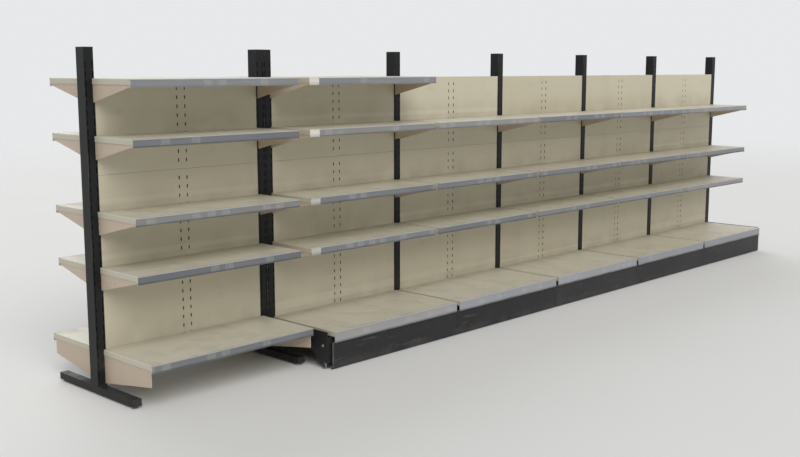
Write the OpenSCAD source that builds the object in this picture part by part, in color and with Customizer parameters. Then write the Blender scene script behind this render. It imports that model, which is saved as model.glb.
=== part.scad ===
// Gondola shelving for a small shop: one end unit and a main run of whole bays, with shelves
// on both sides. X runs along the shelves, -Y is the front side and Z is up. The origin is on
// the floor, in the middle of the run.

/* [Run] */
// Whole bays in the main run, beside the single bay of the end unit
main_bays = 5; // [2:1:12]
// Distance between the centres of neighbouring posts
bay_pitch = 900; // [600:10:1200]
// Gap between the last post of the end unit and the first of the main run
unit_gap = 0.3; // [0.3:0.1:40]
// Bays with a top shelf, counted from the near end
top_shelf_bays = 2; // [1:1:3]

/* [Posts] */
// Width of a post along the run
post_w = 45; // [40:1:60]
// Depth of a post, from its front face to its back face
post_d = 60; // [50:1:90]
// Wall thickness of a post
post_wall = 2; // [1.5:0.5:3]
// How far the posts stand up above the top shelf
post_stand_up = 127; // [60:1:300]
// Height of the main run's post bottoms over the floor
post_bottom = 30; // [25:1:50]
// Thickness of the plate that closes a post's foot
foot_plate = 3; // [2:0.5:5]
// Gap around a cap's plugs in a post, and before the tongues behind the panels
fit = 0.3; // [0.2:0.1:0.6]

/* [Slots] */
// Pitch of the slots up a post
slot_pitch = 40; // [38:0.5:45]
// Height of one slot
slot_h = 27; // [25:0.5:30]
// Width of one slot
slot_w = 4; // [3.5:0.1:5]
// Distance from a post's side to the middle of its nearer column of slots
slot_inset = 6.5; // [6:0.5:9]
// Height from a slot's bottom edge up to the top of the shelf that hooks into it
hook_depth = 36; // [34:1:38]
// Least distance from the highest slot to the post's top
slot_margin = 20; // [10:1:40]

/* [Levels] */
// Height of the end unit's lowest shelf, at its top
lowest_shelf_top = 200; // [195:1:260]
// Slots from the lowest shelf up to level 2
level_2_slots = 9; // [6:1:12]
// Slots from level 2 up to level 3
level_3_slots = 6; // [5:1:10]
// Slots from level 3 up to level 4
level_4_slots = 8; // [5:1:10]
// Slots from level 4 up to level 5
level_5_slots = 6; // [5:1:10]

/* [Shelves] */
// Depth of a shelf, from back to front
shelf_depth = 290; // [200:5:400]
// Depth of the end unit's lowest shelf, from back to front
lowest_shelf_depth = 370; // [200:5:440]
// Height of a shelf's front lip
shelf_lip = 35; // [30:1:45]
// Thickness of the folded sheet of shelves and decks
sheet = 1; // [0.7:0.1:1.5]
// Width of the hem that turns back under the front lip
lip_hem = 12; // [8:1:20]
// Height of the flange along a shelf's back
back_flange = 20; // [12:1:28]
// Height of the flange at a shelf's ends
end_flange = 24; // [12:1:28]
// Width of the stiffening channel under a shelf or deck
channel_w = 55; // [30:1:80]
// Height of the stiffening channel
channel_h = 18; // [10:1:20]
// Gap between the post's face and what stands before it
shelf_back_gap = 1; // [0.5:0.5:3]
// Gap between a shelf's end flange and the bracket inside it
end_play = 1.5; // [1.2:0.1:2]

/* [Brackets] */
// Thickness of a bracket's plate
bracket_t = 3; // [2:0.5:3]
// Height of a bracket at its back
bracket_back_h = 100; // [97:1:120]
// Height at its back of a bracket under the end unit's lowest shelf
lowest_bracket_back_h = 150; // [97:1:155]
// Height at its tip of a bracket under the end unit's lowest shelf
lowest_bracket_tip_h = 95; // [40:1:110]
// Depth of a hook's nose behind the post's wall
hook_nose = 4; // [3:0.5:6]
// Height of a hook's neck
hook_neck = 14; // [10:0.5:15]
// How far a hook's nose drops behind the wall
hook_drop = 10; // [6:0.5:10]
// Gap between a hook's nose and the post's wall
wall_play = 0.2; // [0.1:0.1:0.5]
// Gap between a bracket's tip and the shelf's lip
front_play = 2; // [1:0.5:4]
// Gap between a bracket and the hem under the shelf's lip
hem_play = 1; // [0.5:0.5:2]

/* [Base] */
// Height of the main run's base decks, at their tops
deck_top = 182; // [165:1:240]
// Depth of a base deck, from back to front
deck_depth = 445; // [400:5:600]
// Height of a base deck's front lip
deck_lip = 52; // [36:1:60]
// Height of the gap between the floor and a kick plate
kick_lift = 4; // [2:1:10]
// Gap between a kick plate's top and the deck's lip
kick_top_gap = 2; // [1:1:8]
// How far a kick plate stands back from the deck's lip
kick_setback = 6; // [2:1:30]
// Depth of a kick plate's folded flanges
kick_flange = 15; // [10:1:25]
// Gap between a kick plate's end and the middle of the leg behind it
kick_end_gap = 1; // [0.5:0.5:3]
// Wall thickness of a base leg
leg_wall = 3; // [2:0.5:3]
// Height of a base leg's arch over its bottom edge
leg_arch_h = 45; // [20:1:70]
// Length of a base leg's low toe
leg_toe = 60; // [50:1:100]
// Length of the slopes at the ends of a base leg's arch
leg_slope = 40; // [20:1:60]

/* [Back panels] */
// Stacked panels from the base to the top shelf
panel_rows = 3; // [2:1:5]
// Depth of the lowest panels' bottom edge below the base decks' tops
panel_under_deck = 27; // [22:1:60]
// Depth of the highest panels' top edge below the top shelf's top
panel_under_shelf = 5; // [3:1:20]
// Depth of a panel's folded edges
panel_depth = 14; // [10:1:16]
// Thickness of a panel's sheet
panel_sheet = 0.8; // [0.7:0.1:1.2]
// How far a panel stands back from the post's face
panel_setback = 3; // [2:0.5:5]
// Seam between two stacked panels
panel_seam = 1; // [0.5:0.5:4]
// Gap between a panel's edge and the post beside it
panel_side_gap = 0.3; // [0.2:0.1:0.9]
// Distance between the two slot columns in the middle of a panel
mid_slot_spacing = 42; // [36:1:80]
// Pitch of the slots in the middle of a panel
mid_slot_pitch = 40; // [36:1:80]
// Height of a slot in the middle of a panel
mid_slot_h = 16; // [12:1:24]
// Width of a slot in the middle of a panel
mid_slot_w = 6; // [4:0.5:8]
// Width of the stiffening channel behind the slots, to each side of them
stiffener_side = 8; // [4:1:20]
// Depth of the stiffening channel behind the slots
stiffener_depth = 10; // [6:0.5:10]
// Height of the tongue that hangs behind the panel below
tongue_h = 8; // [5:1:12]

/* [Feet and trims] */
// Radius of a levelling foot's pad
foot_r = 18; // [12:1:20]
// Thickness of a levelling foot's pad
foot_pad_h = 6; // [4:1:8]
// Radius of a levelling foot's stem
foot_stem_r = 5; // [4:0.5:6]
// Height of the end unit's foot beams over the floor
beam_lift = 10; // [9:1:15]
// Height of an end unit's foot beam
beam_h = 30; // [20:1:35]
// Width of an end unit's foot beam
beam_w = 40; // [30:1:44]
// Reach of an end unit's foot beam to each side of the middle
beam_reach = 300; // [200:5:400]
// Wall thickness of an end unit's foot beam
beam_wall = 2; // [1.5:0.5:3]
// Distance from the end of a beam or leg to the middle of its levelling foot
foot_inset = 30; // [25:1:45]
// Height of a tie rail between two posts
tie_h = 40; // [25:1:50]
// Wall thickness of a tie rail
tie_wall = 1.5; // [1:0.1:1.5]
// Gap between a tie rail and the panels' folded edges
tie_gap = 2; // [1:0.1:2]
// Distance from the panels' top down to the upper tie rails
tie_drop = 14; // [13:1:60]
// Height of the skirts under a top cover
cover_skirt = 10; // [5:1:12]
// Thickness of a post's cap
cap_t = 3; // [2:0.5:6]
// Height of the plugs under a post's cap
plug_h = 12; // [6:1:20]
// Thickness of a ticket rail at its rims
rail_t = 4; // [3:0.5:6]
// Thickness of a ticket rail between its rims
rail_web = 2; // [1.5:0.5:2.5]
// Height of a ticket rail's rims
rail_rim = 3.5; // [2:0.5:5]
// Bare stretch of lip where the main run's first rails start late
rail_late_start = 60; // [10:5:200]

/* [Hidden] */
$fn = 48;

// Colours
post_black = [0.08, 0.08, 0.075];
cream = [0.78, 0.76, 0.68];
bracket_beige = [0.78, 0.72, 0.65];
kick_grey = [0.27, 0.26, 0.28];
rail_grey = [0.74, 0.77, 0.83];
foot_grey = [0.35, 0.35, 0.36];
tie_grey = [0.55, 0.55, 0.53];

// Posts along the run: 0 and 1 carry the end unit, 2 and up the main run
last_post = main_bays + 2;
run_length = bay_pitch * (main_bays + 1) + post_w + unit_gap;
function post_x(i) = -run_length / 2 + (i < 2 ? i * bay_pitch : (i - 1) * bay_pitch + post_w + unit_gap);

// Bays along the run: bay 0 is the end unit
last_bay = main_bays;
function left_post(bay) = bay == 0 ? 0 : bay + 1;
function left_x(bay) = post_x(left_post(bay));
function right_x(bay) = post_x(left_post(bay) + 1);
bays_all = [0 : last_bay];
bays_main = [1 : last_bay];
bays_top = [0 : min(top_shelf_bays, last_bay + 1) - 1];

// Heights of the shelf levels
level_slots = [
    0, level_2_slots, level_2_slots + level_3_slots,
    level_2_slots + level_3_slots + level_4_slots,
    level_2_slots + level_3_slots + level_4_slots + level_5_slots
];
function level_top(level) = lowest_shelf_top + level_slots[level - 1] * slot_pitch;
post_top = level_top(5) + post_stand_up;
post_face = post_d / 2;
post_cell = post_face - 1.5 * post_wall;

// Slots: the bracket of a shelf at slot s hooks into slots s and s - hook_skip
hook_skip = 1;
slots_below = 2;
slot_x = post_w / 2 - slot_inset;
slot_last = floor((post_top - slot_margin - slot_h - lowest_shelf_top + hook_depth) / slot_pitch);
function slot_bottom(s) = lowest_shelf_top - hook_depth + s * slot_pitch;

// Shelves end just outside their brackets
shelf_end = slot_x - bracket_t / 2 - end_play - sheet;
shelf_back = post_face + shelf_back_gap;

// Back panels
panel_face = post_face - panel_setback;
panel_bottom = deck_top - panel_under_deck;
panel_pitch = (level_top(5) - panel_under_shelf - panel_bottom) / panel_rows;
panel_top = panel_bottom + panel_pitch * panel_rows - panel_seam;
panel_w = bay_pitch - post_w - 2 * panel_side_gap;
panel_h = panel_pitch - panel_seam;
panel_rear = panel_face - panel_depth;
stiffener_w = mid_slot_spacing + mid_slot_w + 2 * stiffener_side;

// Base: a leg is as wide as the brackets' outer faces
leg_w = 2 * slot_x + bracket_t;
deck_front = shelf_back + deck_depth;
kick_front = deck_front - kick_setback;
kick_top = deck_top - deck_lip - kick_top_gap;
leg_front = kick_front - kick_flange;
beam_top = beam_lift + beam_h;
tie_half_depth = panel_rear - tie_gap;

// Places a (Y, Z) section along X
module along_x(length) {
    rotate([90, 0, 90]) linear_extrude(length) children();
}

module back_side() {
    mirror([0, 1, 0]) children();
}

module both_sides() {
    children();
    back_side() children();
}

// A rectangular tube with a web down its middle, closed at its foot, with two columns of slots
// on each face. The web keeps the hooks of the two sides apart
module post(bottom) {
    difference() {
        translate([-post_w / 2, -post_face, bottom]) cube([post_w, post_d, post_top - bottom]);
        both_sides() {
            translate([-post_w / 2 + post_wall, -post_face + post_wall, bottom + foot_plate])
                cube([post_w - 2 * post_wall, post_cell, post_top - bottom]);
            for (side = [-1, 1], s = [-slots_below : slot_last])
                translate([side * slot_x - slot_w / 2, -post_face - 1, slot_bottom(s)])
                    cube([slot_w, post_wall + 2, slot_h]);
        }
    }
}

module end_unit_posts() {
    color(post_black)
        for (i = [0, 1]) translate([post_x(i), 0, 0]) post(beam_top);
}

module run_posts() {
    color(post_black)
        for (i = [2 : last_post]) translate([post_x(i), 0, 0]) post(post_bottom);
}

// A plastic cap with two plugs that drop into the post, one on each side of its web
module post_caps() {
    plug_gap = post_wall + fit;
    color(post_black)
        for (i = [0 : last_post]) translate([post_x(i), 0, post_top]) {
            translate([-post_w / 2, -post_face, 0]) cube([post_w, post_d, cap_t]);
            both_sides() translate([-post_w / 2 + plug_gap, -post_face + plug_gap, -plug_h])
                cube([post_w - 2 * plug_gap, post_cell - 2 * fit, plug_h]);
        }
}

// Rectangular tubes that carry the end unit's two posts
module end_unit_feet() {
    color(post_black)
        for (i = [0, 1]) translate([post_x(i), 0, 0]) difference() {
            translate([-beam_w / 2, -beam_reach, beam_lift]) cube([beam_w, 2 * beam_reach, beam_h]);
            translate([-beam_w / 2 + beam_wall, -beam_reach - 1, beam_lift + beam_wall])
                cube([beam_w - 2 * beam_wall, 2 * beam_reach + 2, beam_h - 2 * beam_wall]);
        }
}

// A pad and a stem that reaches up to what it carries
module levelling_foot(reach) {
    cylinder(r = foot_r, h = foot_pad_h);
    cylinder(r = foot_stem_r, h = reach);
}

module levelling_feet() {
    color(foot_grey) {
        for (i = [0, 1], side = [-1, 1])
            translate([post_x(i), side * (beam_reach - foot_inset), 0]) levelling_foot(beam_lift);
        for (i = [2 : last_post]) {
            translate([post_x(i), 0, 0]) levelling_foot(post_bottom);
            for (side = [-1, 1])
                translate([post_x(i), side * (leg_front - foot_inset), 0]) levelling_foot(post_bottom);
        }
    }
}

// Tubes between the posts, hidden between the front and back panels
module tie_rails() {
    color(tie_grey)
        for (bay = bays_all, z = [panel_bottom + panel_sheet, panel_top - tie_drop - tie_h])
            translate([left_x(bay) + post_w / 2, 0, z]) along_x(bay_pitch - post_w)
                difference() {
                    translate([-tie_half_depth, 0]) square([2 * tie_half_depth, tie_h]);
                    translate([-tie_half_depth + tie_wall, tie_wall])
                        square([2 * (tie_half_depth - tie_wall), tie_h - 2 * tie_wall]);
                }
}

// Folded strips that close the gap between the front and back panels at the top
module top_covers() {
    color(cream)
        for (bay = bays_all)
            translate([left_x(bay) + post_w / 2 + panel_side_gap, 0, panel_top]) along_x(panel_w) {
                translate([-panel_face, 0]) square([2 * panel_face, sheet]);
                for (side = [-1, 1])
                    translate([side * (panel_rear - sheet / 2) - sheet / 2, -cover_skirt])
                        square([sheet, cover_skirt + sheet]);
            }
}

// A folded box behind a panel's face, with an open back or a closed one
module folded_box(left, width, depth, open_back) {
    inside = open_back ? depth : depth - 2 * panel_sheet;
    difference() {
        translate([left, -panel_face, 0]) cube([width, depth, panel_h]);
        translate([left + panel_sheet, -panel_face + panel_sheet, panel_sheet])
            cube([width - 2 * panel_sheet, inside, panel_h - 2 * panel_sheet]);
    }
}

// A folded pan with its open side inwards, a stiffening channel down its middle, two columns of
// slots that open into the channel, and a tongue that closes the seam to the panel below
module panel() {
    slot_rows = floor((panel_h - mid_slot_h) / mid_slot_pitch);
    first_slot = (panel_h - slot_rows * mid_slot_pitch) / 2;
    difference() {
        union() {
            folded_box(0, panel_w, panel_depth, true);
            folded_box((panel_w - stiffener_w) / 2, stiffener_w, stiffener_depth, false);
        }
        for (side = [-1, 1], row = [0 : slot_rows - 1])
            translate([
                panel_w / 2 + side * mid_slot_spacing / 2 - mid_slot_w / 2,
                -panel_face - 1,
                first_slot + (row + 0.5) * mid_slot_pitch - mid_slot_h / 2
            ]) cube([mid_slot_w, panel_sheet + 2, mid_slot_h]);
    }
    translate([0, -panel_rear - panel_sheet, 0]) cube([panel_w, fit + 2 * panel_sheet, panel_sheet]);
    translate([0, -panel_rear + fit, -tongue_h]) cube([panel_w, panel_sheet, tongue_h + panel_sheet]);
}

module panel_stack(bay) {
    left = left_x(bay) + post_w / 2 + panel_side_gap;
    for (row = [0 : panel_rows - 1])
        translate([left, 0, panel_bottom + row * panel_pitch]) panel();
}

module back_panels_end_unit() {
    color(cream) both_sides() panel_stack(0);
}

module back_panels_front() {
    color(cream) for (bay = bays_main) panel_stack(bay);
}

module back_panels_back() {
    color(cream) back_side() for (bay = bays_main) panel_stack(bay);
}

// A base leg: a folded trough with an arched underside and low ends, under which the decks'
// end flanges hang free
module base_leg() {
    length = leg_front - post_face;
    difference() {
        translate([-leg_w / 2, 0, 0]) along_x(leg_w) polygon([
            [-leg_front, post_bottom],
            [-leg_front + leg_toe, post_bottom],
            [-leg_front + leg_toe + leg_slope, post_bottom + leg_arch_h],
            [-post_face - leg_slope, post_bottom + leg_arch_h],
            [-post_face, post_bottom],
            [-post_face, deck_top - sheet],
            [-leg_front, deck_top - sheet]
        ]);
        translate([-leg_w / 2 + leg_wall, -leg_front + leg_wall, post_bottom + leg_arch_h + leg_wall])
            cube([leg_w - 2 * leg_wall, length - 2 * leg_wall, deck_top]);
        translate([-leg_w / 2 + leg_wall, -leg_front + leg_wall, post_bottom + leg_wall])
            cube([leg_w - 2 * leg_wall, leg_toe - leg_wall, deck_top]);
        translate([-leg_w / 2 + leg_wall, -leg_front - 1, deck_top - end_flange - end_play])
            cube([leg_w - 2 * leg_wall, length + 2, deck_top]);
    }
}

module base_legs_front() {
    color(kick_grey) for (i = [2 : last_post]) translate([post_x(i), 0, 0]) base_leg();
}

module base_legs_back() {
    color(kick_grey) back_side() for (i = [2 : last_post]) translate([post_x(i), 0, 0]) base_leg();
}

// A folded tray: front lip with a hem, end flanges, and a back flange and a stiffening channel
// that stop short of what carries the tray
module tray(bay, top, depth, lip) {
    front = shelf_back + depth;
    length = right_x(bay) - left_x(bay) - 2 * shelf_end;
    flange_inset = leg_w / 2 + end_play - shelf_end;
    translate([left_x(bay) + shelf_end, 0, top]) {
        along_x(length) {
            translate([-front, -sheet]) square([depth, sheet]);
            translate([-front, -lip]) square([sheet, lip]);
            translate([-front, -lip]) square([lip_hem, sheet]);
        }
        translate([flange_inset, 0, 0]) along_x(length - 2 * flange_inset) {
            translate([-shelf_back - sheet, -back_flange]) square([sheet, back_flange]);
            translate([-shelf_back - (depth + channel_w) / 2, -sheet - channel_h]) difference() {
                square([channel_w, channel_h]);
                translate([sheet, sheet]) square([channel_w - 2 * sheet, channel_h]);
            }
        }
        for (x = [0, length - sheet])
            translate([x, -front, -end_flange]) cube([sheet, depth, end_flange]);
    }
}

module shelf_row(level, bays, depth = shelf_depth) {
    color(cream) for (bay = bays) tray(bay, level_top(level), depth, shelf_lip);
}

module deck_row() {
    color(cream) for (bay = bays_main) tray(bay, deck_top, deck_depth, deck_lip);
}

module shelves_level_1() {
    both_sides() shelf_row(1, [0], lowest_shelf_depth);
}

module shelves_front(level, bays) { shelf_row(level, bays); }

module shelves_back(level, bays) { back_side() shelf_row(level, bays); }

module base_decks_front() { deck_row(); }

module base_decks_back() { back_side() deck_row(); }

// A tapered plate under a shelf's end, notched over the lip's hem, with two hooks seated in the
// post's slots
module bracket(depth, back_h, tip_h) {
    tip = shelf_back + depth - sheet - front_play;
    hem_back = shelf_back + depth - lip_hem - front_play;
    over_hem = shelf_lip - sheet - hem_play;
    hook_y = -post_face + post_wall + wall_play;
    along_x(bracket_t) {
        polygon(concat(
            [[-post_face, -sheet], [-tip, -sheet], [-tip, -over_hem], [-hem_back, -over_hem]],
            tip_h > over_hem ? [[-hem_back, -tip_h]] : [],
            [[-post_face, -back_h]]
        ));
        for (s = [0, hook_skip]) translate([0, -hook_depth - s * slot_pitch]) {
            translate([-post_face - bracket_t, 0])
                square([bracket_t + post_wall + wall_play + hook_nose, hook_neck]);
            translate([hook_y, -hook_drop]) square([hook_nose, hook_neck + hook_drop]);
        }
    }
}

module bracket_row(level, bays, depth = shelf_depth, back_h = bracket_back_h, tip_h = 0) {
    color(bracket_beige)
        for (bay = bays, x = [left_x(bay) + slot_x, right_x(bay) - slot_x])
            translate([x - bracket_t / 2, 0, level_top(level)]) bracket(depth, back_h, tip_h);
}

module brackets_level_1() {
    both_sides() bracket_row(1, [0], lowest_shelf_depth, lowest_bracket_back_h, lowest_bracket_tip_h);
}

module brackets_front(level, bays) { bracket_row(level, bays); }

module brackets_back(level, bays) { back_side() bracket_row(level, bays); }

// A folded kick plate with a flange at its top and bottom
module kick_section() {
    kick_h = kick_top - kick_lift;
    square([sheet, kick_h]);
    square([kick_flange, sheet]);
    translate([0, kick_h - sheet]) square([kick_flange, sheet]);
}

module kick_row() {
    color(kick_grey)
        for (bay = bays_main)
            translate([left_x(bay) + kick_end_gap, -kick_front, kick_lift])
                along_x(bay_pitch - 2 * kick_end_gap) kick_section();
}

module kick_plates_front() { kick_row(); }

module kick_plates_back() { back_side() kick_row(); }

// A clip-on rail for price tickets, with a rim along its top and bottom
module rail(start, length, front, top, height) {
    translate([start, -front, top]) along_x(length) {
        translate([-rail_web, -height]) square([rail_web, height]);
        translate([-rail_t, -height]) square([rail_t, rail_rim]);
        translate([-rail_t, -rail_rim]) square([rail_t, rail_rim]);
    }
}

module rail_row(top, depth, height, bays, late_bay) {
    for (bay = bays) {
        late = bay == late_bay ? rail_late_start : 0;
        length = right_x(bay) - left_x(bay) - 2 * shelf_end - late;
        rail(left_x(bay) + shelf_end + late, length, shelf_back + depth, top, height);
    }
}

module ticket_rails() {
    color(rail_grey) {
        rail_row(level_top(1), lowest_shelf_depth, shelf_lip, [0], -1);
        for (level = [2 : 4]) rail_row(level_top(level), shelf_depth, shelf_lip, bays_all, 1);
        rail_row(level_top(5), shelf_depth, shelf_lip, bays_top, 1);
        rail_row(deck_top, deck_depth, deck_lip, bays_main, -1);
    }
}

module ticket_rails_front() { ticket_rails(); }

module ticket_rails_back() { back_side() ticket_rails(); }

end_unit_posts();
run_posts();
post_caps();
end_unit_feet();
levelling_feet();
tie_rails();
top_covers();
back_panels_end_unit();
back_panels_front();
back_panels_back();
base_legs_front();
base_legs_back();
base_decks_front();
base_decks_back();
kick_plates_front();
kick_plates_back();
shelves_level_1();
shelves_front(2, bays_all);  // shelves_level_2_front
shelves_front(3, bays_all);  // shelves_level_3_front
shelves_front(4, bays_all);  // shelves_level_4_front
shelves_front(5, bays_top);  // shelves_level_5_front
shelves_back(2, bays_all);  // shelves_level_2_back
shelves_back(3, bays_all);  // shelves_level_3_back
shelves_back(4, bays_all);  // shelves_level_4_back
shelves_back(5, bays_top);  // shelves_level_5_back
brackets_level_1();
brackets_front(2, bays_all);  // brackets_level_2_front
brackets_front(3, bays_all);  // brackets_level_3_front
brackets_front(4, bays_all);  // brackets_level_4_front
brackets_front(5, bays_top);  // brackets_level_5_front
brackets_back(2, bays_all);  // brackets_level_2_back
brackets_back(3, bays_all);  // brackets_level_3_back
brackets_back(4, bays_all);  // brackets_level_4_back
brackets_back(5, bays_top);  // brackets_level_5_back
ticket_rails_front();
ticket_rails_back();
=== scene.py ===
# %% [markdown]
# # A gondola shelving run for a small shop
# The packed model already holds every folded shelf, bracket, post and panel at its real size.
# This lesson adds what such a run shows after years of use: powder coat with its grain, dust
# where nothing was wiped, rub marks where loads slid, scuffs on the kick plates, and the small
# fasteners that hold it together. Each finish and piece is explained before it is made.

# %% Load the fixed frame
import functools
import math

import bmesh
import bpy
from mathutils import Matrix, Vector


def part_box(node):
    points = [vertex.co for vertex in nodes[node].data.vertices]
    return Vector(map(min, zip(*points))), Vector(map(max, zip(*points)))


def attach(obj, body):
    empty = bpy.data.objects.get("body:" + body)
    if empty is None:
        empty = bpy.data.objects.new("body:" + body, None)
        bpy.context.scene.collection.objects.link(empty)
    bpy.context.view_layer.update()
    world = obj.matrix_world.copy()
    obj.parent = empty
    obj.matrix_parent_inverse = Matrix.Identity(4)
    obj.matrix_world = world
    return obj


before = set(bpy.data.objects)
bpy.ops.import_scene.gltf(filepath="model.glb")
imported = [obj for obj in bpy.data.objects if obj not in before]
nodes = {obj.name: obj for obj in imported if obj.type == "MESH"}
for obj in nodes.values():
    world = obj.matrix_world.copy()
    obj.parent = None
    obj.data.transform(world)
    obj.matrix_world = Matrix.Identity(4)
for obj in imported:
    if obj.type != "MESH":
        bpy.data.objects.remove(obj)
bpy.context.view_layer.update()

# %% [markdown]
# ## Places that the pieces share
# Posts and shelf tops are read from the frame, so whatever is added later sits where the model
# says. The bay, the pitch of the slots and the width of a post belong to the shelving system
# and are written here once; a size that no box gives, such as a tube's section, is written
# where it is used. Shelves on levels 2 to 5 are one node on each side of the run.

# %% Posts and levels
BAY, BAYS, PITCH, HALF_POST = 0.9, 5, 0.040, 0.0225
PAIRED = (2, 3, 4, 5)
FIRST_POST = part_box("end_unit_posts")[0].x + HALF_POST
RUN_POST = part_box("run_posts")[0].x + HALF_POST
POST_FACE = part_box("run_posts")[1].y
end_posts = [FIRST_POST, FIRST_POST + BAY]
run_posts = [RUN_POST + BAY * i for i in range(BAYS + 1)]
LEVELS = {n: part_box(f"shelves_level_{n}_front")[1].z for n in PAIRED}
LEVELS[1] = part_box("shelves_level_1")[1].z
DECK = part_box("base_decks_front")[1].z
print("run posts at", [round(x, 4) for x in run_posts])
print("levels at", {n: round(z, 3) for n, z in sorted(LEVELS.items())}, "deck", round(DECK, 3))

# %% [markdown]
# ## The camera
# The eye stands 1.40 m over the floor, 4 m out from the run's middle line and 2.3 m beyond its
# near end, and looks at it on a slant. A wide lens would leave the run small, so a normal one
# lets it fill the frame. The camera only turns: with no shift, other views stay centred too.

# %% Camera
EYE = Vector((-5.0, -3.977, 1.40))
turn, dip = math.radians(43.6), math.radians(-8.7)
aim = Vector((math.cos(turn) * math.cos(dip), math.sin(turn) * math.cos(dip), math.sin(dip)))
eye_data = bpy.data.cameras.new("eye")
eye_data.lens = 47.0
eye = bpy.data.objects.new("eye", eye_data)
eye.location = EYE
eye.rotation_euler = aim.to_track_quat("-Z", "Y").to_euler()
bpy.context.scene.collection.objects.link(eye)
bpy.context.scene.camera = eye
print("lens", eye_data.lens, "mm, turned", round(math.degrees(turn), 1), "degrees from the run")

# %% [markdown]
# ## Shader maths as plain expressions
# A finish is a sum of masks, and masks are easy to read as arithmetic. `Wire` wraps a socket:
# `1 - dust` or `rub * 0.4` adds the Math node it stands for. Every other node comes from
# `node`, which takes its settings first and then what goes into it.

# %% Wire
def feed(node, inputs):
    """Fills a node's inputs: a wire is linked, a plain value is written."""
    for name, value in inputs.items():
        if isinstance(value, Wire):
            node.id_data.links.new(value.socket, node.inputs[name])
        else:
            node.inputs[name].default_value = value


class Wire:
    """A socket of a material, with arithmetic."""

    def __init__(self, socket):
        self.socket = socket

    def node(self, kind, settings=None, inputs=None, output=0):
        """Adds a node to the same tree and returns the wire of one of its outputs."""
        made = self.socket.id_data.nodes.new(kind)
        for name, value in (settings or {}).items():
            setattr(made, name, value)
        feed(made, inputs or {})
        return Wire(made.outputs[output])

    def also(self, output):
        """Another output of the same node."""
        return Wire(self.socket.node.outputs[output])

    def parts(self):
        """The x, y and z of a vector."""
        apart = self.node("ShaderNodeSeparateXYZ", inputs={0: self})
        return apart, apart.also("Y"), apart.also("Z")

    def red(self):
        """The red of a colour, a random number where the colours are random."""
        return self.node("ShaderNodeSeparateColor", inputs={0: self})

    def math(self, operation, *values):
        return self.node("ShaderNodeMath", {"operation": operation}, dict(enumerate(values)))

    def __add__(self, other):
        return self.math("ADD", self, other)

    def __sub__(self, other):
        return self.math("SUBTRACT", self, other)

    def __rsub__(self, other):
        return self.math("SUBTRACT", other, self)

    def __mul__(self, other):
        return self.math("MULTIPLY", self, other)

    def __truediv__(self, other):
        return self.math("DIVIDE", self, other)

    def __mod__(self, other):
        return self.math("FLOORED_MODULO", self, other)

    def __abs__(self):
        return self.math("ABSOLUTE", self)

    __radd__ = __add__
    __rmul__ = __mul__

    def floor(self):
        return self.math("FLOOR", self)

    def sign(self):
        return self.math("SIGN", self)

    def root(self):
        return self.math("SQRT", self)

    def least(self, other):
        return self.math("MINIMUM", self, other)

    def most(self, other):
        return self.math("MAXIMUM", self, other)

    def rise(self, low, high):
        """0 below low, 1 above high and smooth between; a fall where low is above high."""
        return self.node(
            "ShaderNodeMapRange",
            {"interpolation_type": "SMOOTHSTEP"},
            {"Value": self, "From Min": low, "From Max": high},
        )

    def band(self, middle, width):
        """1 at the middle, 0 beyond the width."""
        return abs(self - middle).rise(width, width * 0.4)


print("a wire's own words:", ", ".join(word for word in vars(Wire) if word[0] != "_"))

# %% [markdown]
# ## Places, grain and random numbers
# The coordinates are Object coordinates. Every object sits at the origin, so they are metres
# in the run's own frame, and a mask can say "the front 20 mm" or "near a post". Noise is
# stretched by scaling the place before it is read.

# %% Places and grain
def start(name):
    """A new material and its place, the wire of its Object coordinates."""
    material = bpy.data.materials.new(name)
    material.use_nodes = True
    shader = Wire(material.node_tree.nodes["Principled BSDF"].outputs[0])
    return material, shader.node("ShaderNodeTexCoord", output="Object")


def grain(place, scale, detail=2.0, stretch=(1, 1, 1), shift=(0, 0, 0), rough=0.5):
    """Noise from 0 to 1 with about scale features to the metre."""
    moved = {"Vector": place, "Location": shift, "Scale": stretch}
    moved = place.node("ShaderNodeMapping", inputs=moved)
    noise = {"Vector": moved, "Scale": scale, "Detail": detail, "Roughness": rough}
    return place.node("ShaderNodeTexNoise", inputs=noise)


def frayed(place, scale, push):
    """The place pushed about by noise, so that a straight border frays."""
    noise = {"Vector": place, "Scale": scale, "Detail": 4.0}
    around = place.node("ShaderNodeTexNoise", inputs=noise, output="Color")
    pushed = {0: around, 1: (push, push, 0.0), 2: place}
    return place.node("ShaderNodeVectorMath", {"operation": "MULTIPLY_ADD"}, pushed)


def chance(number):
    """A random value from 0 to 1 that stays the same for the same number."""
    settings = {"noise_dimensions": "1D"}
    return number.node("ShaderNodeTexWhiteNoise", settings, {"W": number})


def facing_up(place):
    """1 on what faces the ceiling."""
    return place.node("ShaderNodeNewGeometry", output="Normal").parts()[2].rise(0.6, 0.95)


print("helpers: start, grain, frayed, chance, facing_up")

# %% [markdown]
# ## Colours in layers
# A finish is painted as on the real thing: a base colour, and over it thin layers of dirt,
# wear and polish, each as strong as its mask. Math nodes would turn a colour grey, so `tint`
# lays one colour over another with a Mix node. `layered` lays a list of them, the lowest first.

# %% Colours
def rgb(r, g, b):
    return (r, g, b, 1.0)


def tint(below, above, amount):
    """A colour laid over another; 6 and 7 are the Mix node's sockets for colours."""
    inputs = {0: amount, 6: below, 7: above}
    return amount.node("ShaderNodeMix", {"data_type": "RGBA"}, inputs, output=2)


def layered(colour, *layers):
    """A colour under (colour, amount) layers."""
    for above, amount in layers:
        colour = tint(colour, above, amount)
    return colour


print("helpers: rgb, tint, layered")

# %% [markdown]
# ## Finishing a material
# A finish ends in the Principled shader. What varies goes only into base colour, roughness,
# metallic and the bump that feeds the normal; a value that is the same all over is set on the
# shader itself.

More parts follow.
